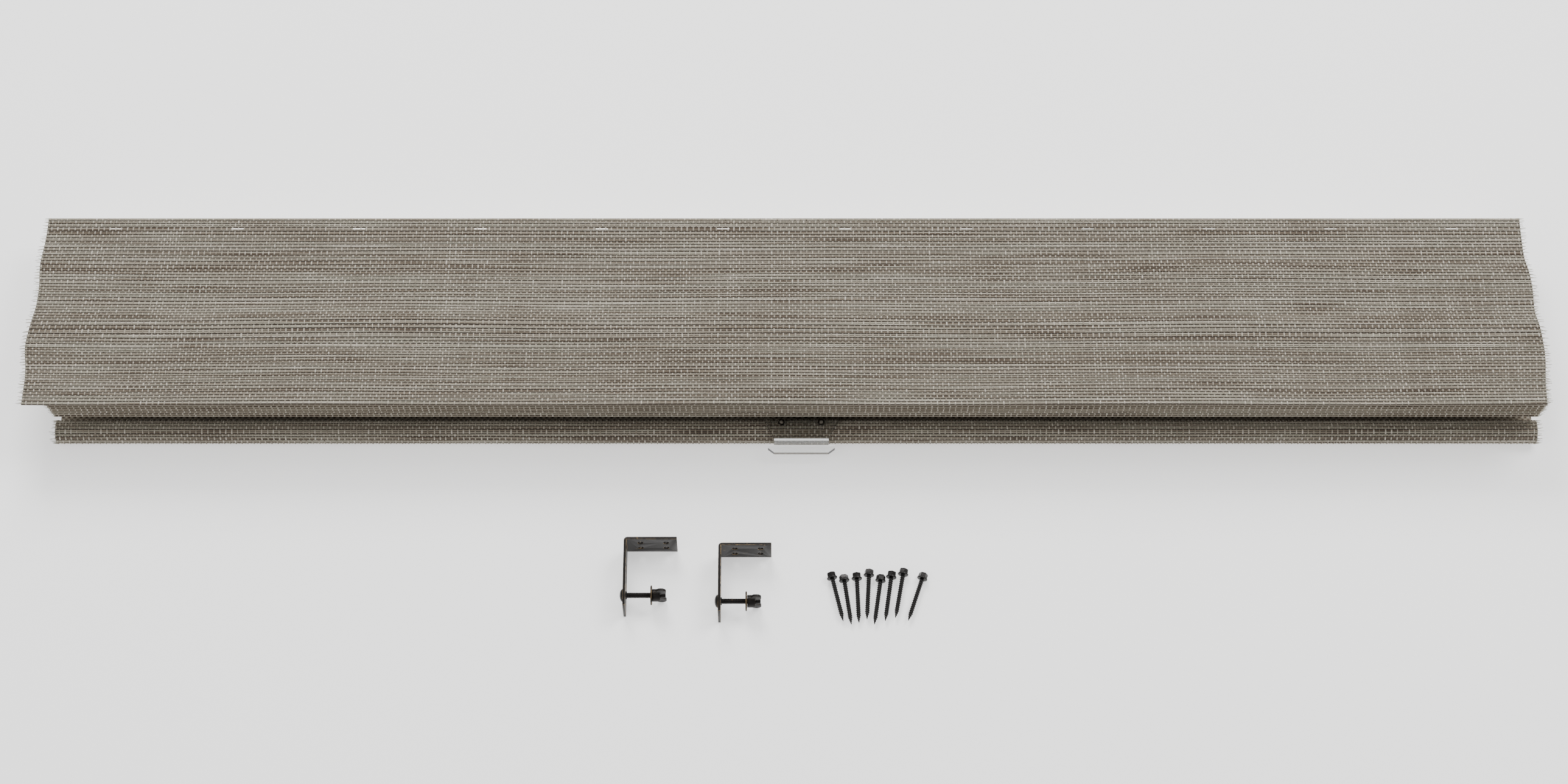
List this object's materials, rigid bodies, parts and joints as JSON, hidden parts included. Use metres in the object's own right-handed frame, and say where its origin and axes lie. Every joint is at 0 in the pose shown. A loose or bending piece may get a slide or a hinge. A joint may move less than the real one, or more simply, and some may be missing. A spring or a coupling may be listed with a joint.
{
  "type": "roman shade",
  "caption": "Cordless woven Roman shade, raised, lying front up with its valance, stacked folds, clear finger pull, loose brackets and screws.",
  "frame": {"origin": "middle of the headrail's back face", "axes": "+X along the width, +Y towards the headrail top when hung, +Z towards the front of the shade"},
  "size_m": [1.221, 0.3513, 0.0661],
  "materials": {
    "woven_cloth": "coarse plain weave",
    "rail_steel": "satin white",
    "white_plastic": "moulded",
    "softwood": "sawn",
    "bright_steel": "zinc plated",
    "rail_aluminium": "mill",
    "cord_fibre": "braided",
    "ring_plastic": "clear",
    "clear_plastic": "clear moulded",
    "antique_black": "black worn to bronze on the edges",
    "black_screw": "black oxide"
  },
  "bodies": {
    "headrail": {"headrail_channel": "rail_steel", "channel_cover": "rail_steel", "end_cap_left": "white_plastic", "end_cap_right": "white_plastic", "valance_board": "softwood", "staples": "bright_steel", "valance_cloth": "woven_cloth", "spool_cradles": "white_plastic", "motor_housing": "white_plastic", "motor_cover": "white_plastic", "friction_brake": "white_plastic", "lift_cords": "cord_fibre"},
    "shaft": {"lift_shaft": "bright_steel", "cord_spools": "white_plastic", "cord_windings": "cord_fibre", "output_drum": "white_plastic"},
    "storage": {"storage_drum": "white_plastic", "spring_ribbon": "bright_steel"},
    "row_1": {"fold_1": "woven_cloth", "rings_1": "ring_plastic"},
    "row_2": {"fold_2": "woven_cloth", "rings_2": "ring_plastic"},
    "row_3": {"fold_3": "woven_cloth", "rings_3": "ring_plastic"},
    "row_4": {"fold_4": "woven_cloth", "rings_4": "ring_plastic"},
    "row_5": {"fold_5": "woven_cloth", "rings_5": "ring_plastic"},
    "row_6": {"fold_6": "woven_cloth", "rings_6": "ring_plastic"},
    "bottom_rail": {"fold_7": "woven_cloth", "rings_7": "ring_plastic", "hem_cloth": "woven_cloth", "skirt_cloth": "woven_cloth", "bottom_rail": "rail_aluminium", "weight_bar": "bright_steel", "rail_cap_left": "white_plastic", "rail_cap_right": "white_plastic", "cord_anchors": "white_plastic", "pull_handle": "clear_plastic", "handle_screws": "bright_steel"},
    "bracket_1": {"bracket_1": "antique_black"},
    "bolt_1": {"carriage_bolt_1": "antique_black", "washer_1": "antique_black"},
    "nut_1": {"wing_nut_1": "antique_black"},
    "bracket_2": {"bracket_2": "antique_black"},
    "bolt_2": {"carriage_bolt_2": "antique_black", "washer_2": "antique_black"},
    "nut_2": {"wing_nut_2": "antique_black"},
    "screws": {"mounting_screws": "black_screw"}
  },
  "joints": [
    {"name": "lift", "type": "slide", "parent": "headrail", "child": "row_1", "axis": [0, -1, 0], "range_m": [0, 0.206]},
    {"name": "lift_2", "type": "slide", "parent": "row_1", "child": "row_2", "axis": [0, -1, 0], "range_m": [0, 0.206]},
    {"name": "lift_3", "type": "slide", "parent": "row_2", "child": "row_3", "axis": [0, -1, 0], "range_m": [0, 0.206]},
    {"name": "lift_4", "type": "slide", "parent": "row_3", "child": "row_4", "axis": [0, -1, 0], "range_m": [0, 0.206]},
    {"name": "lift_5", "type": "slide", "parent": "row_4", "child": "row_5", "axis": [0, -1, 0], "range_m": [0, 0.206]},
    {"name": "lift_6", "type": "slide", "parent": "row_5", "child": "row_6", "axis": [0, -1, 0], "range_m": [0, 0.206]},
    {"name": "lift_7", "type": "slide", "parent": "row_6", "child": "bottom_rail", "axis": [0, -1, 0], "range_m": [0, 0.206]},
    {"name": "shaft_turn", "type": "hinge", "parent": "headrail", "child": "shaft", "pos_m": [0, -0.005, 0.017], "axis": [1, 0, 0], "range_deg": [-8700, 0]},
    {"name": "storage_turn", "type": "hinge", "parent": "headrail", "child": "storage", "pos_m": [0.19, 0.011, 0.017], "axis": [1, 0, 0], "range_deg": [0, 10500]},
    {"name": "bracket_1_lift_off", "type": "slide", "parent": "bottom_rail", "child": "bracket_1", "axis": [0, 0, 1], "range_m": [0, 0.15]},
    {"name": "bolt_1_slide", "type": "slide", "parent": "bracket_1", "child": "bolt_1", "axis": [0, 1, 0], "range_m": [-0.0035, 0.0215]},
    {"name": "nut_1_turn", "type": "hinge", "parent": "bolt_1", "child": "nut_1", "pos_m": [-0.101, -0.305, 0.0127], "axis": [1, 0, 0], "continuous": true},
    {"name": "bracket_2_lift_off", "type": "slide", "parent": "bottom_rail", "child": "bracket_2", "axis": [0, 0, 1], "range_m": [0, 0.15]},
    {"name": "bolt_2_slide", "type": "slide", "parent": "bracket_2", "child": "bolt_2", "axis": [0, 1, 0], "range_m": [-0.0035, 0.0215]},
    {"name": "nut_2_turn", "type": "hinge", "parent": "bolt_2", "child": "nut_2", "pos_m": [-0.026, -0.31, 0.0127], "axis": [1, 0, 0], "continuous": true},
    {"name": "screws_lift_off", "type": "slide", "parent": "bottom_rail", "child": "screws", "axis": [0, 0, 1], "range_m": [0, 0.15]}
  ],
  "couplings": [
    {"joint": "lift_2", "follows": "lift", "ratio": 1},
    {"joint": "lift_3", "follows": "lift", "ratio": 1},
    {"joint": "lift_4", "follows": "lift", "ratio": 1},
    {"joint": "lift_5", "follows": "lift", "ratio": 1},
    {"joint": "lift_6", "follows": "lift", "ratio": 1},
    {"joint": "lift_7", "follows": "lift", "ratio": 1},
    {"joint": "shaft_turn", "follows": "lift", "rad_per_m": -729.17},
    {"joint": "storage_turn", "follows": "lift", "rad_per_m": 875}
  ]
}
